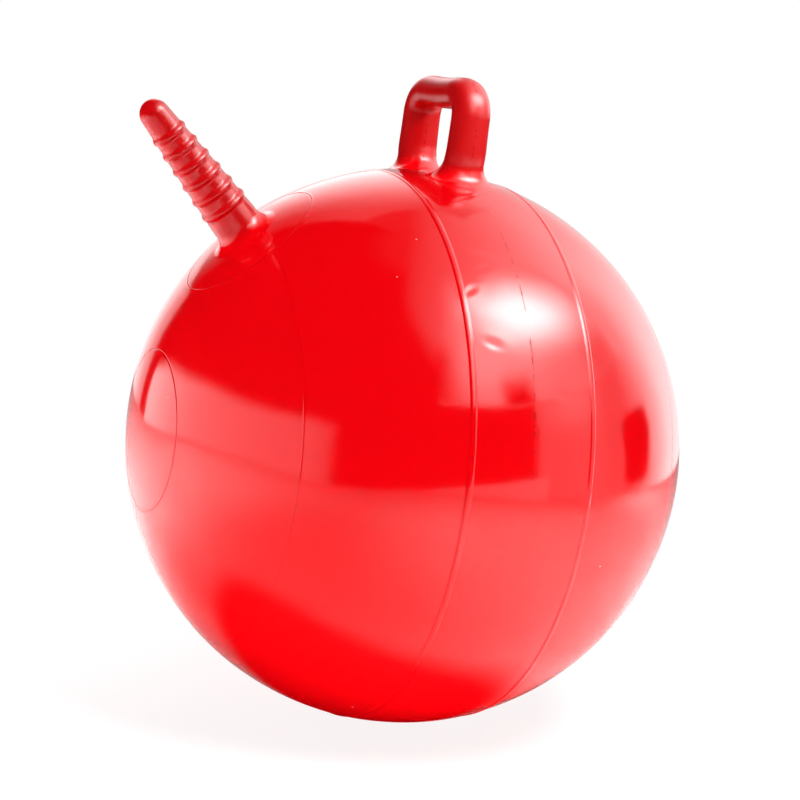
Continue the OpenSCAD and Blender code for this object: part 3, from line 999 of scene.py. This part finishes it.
def ovalShade(tree, where, shade):
    # share of light that an oval leaves at each place
    inside = addNode(tree, "ShaderNodeMapping",
                     {"Vector": where, "Location": shade["place"], "Scale": shade["halves"],
                      "Rotation": (0, 0, np.radians(shade["turn"]))}, vector_type="TEXTURE")
    away = addNode(tree, "ShaderNodeVectorMath", {0: inside.outputs["Vector"]}, operation="LENGTH")
    return softRange(tree, away.outputs["Value"], shade["edge"], shade["share"])


def makeFloor():
    # a square sheet with its near edge across the direction of floorEdgeAzimuth
    s = studio
    near = studioDirection(s["floorEdgeAzimuth"], 0.0)
    along = np.array([-near[1], near[0], 0])
    reach = s["floorReach"]
    corners = [near * s["floorEdge"] + along * reach, near * s["floorEdge"] - along * reach,
               -near * reach - along * reach, -near * reach + along * reach]
    mesh = bpy.data.meshes.new("floor")
    mesh.from_pydata([tuple(c) for c in corners], [], [(3, 2, 1, 0)])
    floor = addObject("floor", mesh)
    material, tree, surface = newMaterial("paleFloor")
    path = tree.nodes.new("ShaderNodeLightPath").outputs
    plain = addNode(tree, "ShaderNodeEmission", {"Color": (1, 1, 1, 1), "Strength": 1.0})
    where = tree.nodes.new("ShaderNodeTexCoord").outputs["Object"]
    away = addNode(tree, "ShaderNodeVectorMath", {0: where}, operation="LENGTH").outputs["Value"]
    left = {name: ovalShade(tree, where, shade) for name, shade in floorShades.items()}
    dimmer = mathNode(tree, "SUBTRACT", 1.0, mathNode(tree, "MULTIPLY", left["front"], left["behind"]))
    dimmer = mathNode(tree, "MULTIPLY", path["Is Glossy Ray"], dimmer)
    colour = mixColour(tree, dimmer, s["floorColour"], (0, 0, 0, 1))
    lit = addNode(tree, "ShaderNodeBsdfDiffuse", {"Color": colour})
    below = mathNode(tree, "SUBTRACT", 1.0, left["under"])
    below = mathNode(tree, "MULTIPLY", path["Is Glossy Ray"], below)
    # painted glow: an emission in the ball's red under it, for reflections only, standing for its red light
    # bounced onto the floor
    red = addNode(tree, "ShaderNodeEmission", {"Color": s["underRedGlow"], "Strength": 1.0})
    lit = addNode(tree, "ShaderNodeMixShader", {0: below, 1: lit.outputs[0], 2: red.outputs[0]})
    white = softRange(tree, away, s["shadowReach"], s["floorGlow"])
    share = mathNode(tree, "MULTIPLY", path["Is Camera Ray"], white)
    mixed = addNode(tree, "ShaderNodeMixShader", {0: share, 1: lit.outputs[0], 2: plain.outputs[0]})
    tree.links.new(mixed.outputs[0], surface)
    mesh.materials.append(material)
    return floor


def makeWorld():
    # white to the camera and in reflections, a plain even fill for the rest
    world = bpy.data.worlds.new("studioWorld")
    bpy.context.scene.world = world
    world.use_nodes = True
    world.cycles.sampling_method = "NONE"  # or its light would pass through the cards
    tree = world.node_tree
    tree.nodes.clear()
    path = tree.nodes.new("ShaderNodeLightPath").outputs
    seen = mathNode(tree, "MAXIMUM", path["Is Camera Ray"], path["Is Glossy Ray"])
    seen = mathNode(tree, "MAXIMUM", seen, path["Is Transmission Ray"])
    level = mathNode(tree, "MULTIPLY_ADD", seen, 1 - studio["ambient"], studio["ambient"])
    sky = addNode(tree, "ShaderNodeBackground", {"Color": (1, 1, 1, 1), "Strength": level})
    end = tree.nodes.new("ShaderNodeOutputWorld")
    tree.links.new(sky.outputs[0], end.inputs["Surface"])


def makeStudio():
    floor = makeFloor()
    cardLight, tree, surface = newMaterial("cardLight")
    glow = addNode(tree, "ShaderNodeEmission", {"Strength": markOf(tree, "level")})
    tree.links.new(glow.outputs["Emission"], surface)
    spared = {"loop": receiverGroup("allButLoop", (carryHandle,), "EXCLUDE"),
              "both": receiverGroup("ballAlone", (hornGrip, carryHandle), "EXCLUDE")}
    for name, card in cards.items():
        sheet = addCard(name, card, cardLight)
        if "spares" in card:
            sheet.light_linking.receiver_collection = spared[card["spares"]]
    lit = {"ball": receiverGroup("allButFloor", (floor,), "EXCLUDE"),
           "floor": receiverGroup("floorAlone", (floor,), "INCLUDE"),
           "loop": receiverGroup("loopAlone", (carryHandle,), "INCLUDE")}
    for name, values in lamps.items():
        addLamp(name, values, lit[values.get("lights", "floor")])
    makeWorld()
    print("studio made")


makeStudio()

# camera at the photograph's angle
view = {
    "azimuth": 64.43, "elevation": 7.735, "roll": 7.507, "distance": 1.9245,
    "aimUp": 0.0445, "aimRight": -0.0022,  # from the ball's centre, in the picture
    "lens": 86.36, "sensor": 36, "farClip": 50,
}


def makeCamera():
    back = studioDirection(view["azimuth"], view["elevation"])
    level = np.array([-back[1], back[0], 0]) / np.hypot(back[0], back[1])
    rise = np.cross(back, level)
    c, s = np.cos(np.radians(view["roll"])), np.sin(np.radians(view["roll"]))
    right = c * level + s * rise
    up = c * rise - s * level
    place = ballCentre + view["aimUp"] * up + view["aimRight"] * right + view["distance"] * back
    lens = bpy.data.cameras.new("camera")
    lens.lens = view["lens"]
    lens.sensor_width = view["sensor"]
    lens.clip_end = view["farClip"]
    camera = addObject("camera", lens)
    camera.matrix_world = placedAt((right, up, back), place)
    bpy.context.scene.camera = camera
    print("camera at", [round(float(v), 4) for v in place])


makeCamera()
bpy.context.scene.view_settings.view_transform = "Standard"
